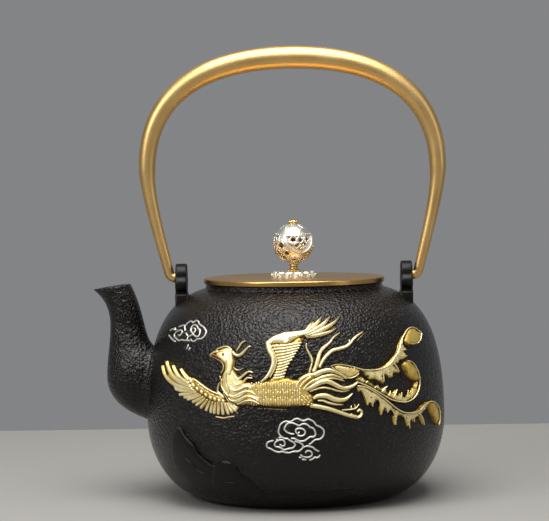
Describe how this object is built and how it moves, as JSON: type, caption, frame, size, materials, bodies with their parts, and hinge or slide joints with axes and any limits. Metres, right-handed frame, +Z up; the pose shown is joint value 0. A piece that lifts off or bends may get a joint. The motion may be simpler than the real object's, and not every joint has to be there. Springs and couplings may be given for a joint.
{
  "type": "cast iron kettle",
  "caption": "Round-bellied cast iron tea kettle with an upright spout, a swinging brass bail, and a flat lift-off brass lid with a pierced ball knob.",
  "frame": {"origin": "centre of the flat base, on the surface the kettle stands on", "axes": "+Z up, -X towards the spout, -Y towards the decorated front"},
  "size_m": [0.191, 0.1618, 0.2415],
  "materials": {
    "iron": "black lacquered cast iron with a fine wrinkled grain",
    "bail_brass": "satin brass",
    "lid_brass": "brushed brass",
    "silver_plate": "polished silver plate over brass",
    "gilt_brass": "polished gilt brass",
    "fastener_brass": "turned brass"
  },
  "bodies": {
    "kettle": {"kettle_body": "iron", "kettle_spout": "iron"},
    "bail": {"handle_bail": "bail_brass"},
    "lid": {"lid_plate": "lid_brass", "lid_collar": "lid_brass", "knob_rosette": "silver_plate", "knob_stem": "gilt_brass", "knob_basket": "silver_plate", "knob_crown": "silver_plate", "knob_cap": "gilt_brass", "knob_rod": "fastener_brass", "knob_washer": "fastener_brass", "knob_nut": "fastener_brass"}
  },
  "joints": [
    {"name": "bail_swing", "type": "hinge", "parent": "kettle", "child": "bail", "pos_m": [0, 0, 0.1178], "axis": [1, 0, 0], "range_deg": [-128, 128]},
    {"name": "lid_lift", "type": "slide", "parent": "kettle", "child": "lid", "axis": [0, 0, 1], "range_m": [0, 0.072]}
  ]
}
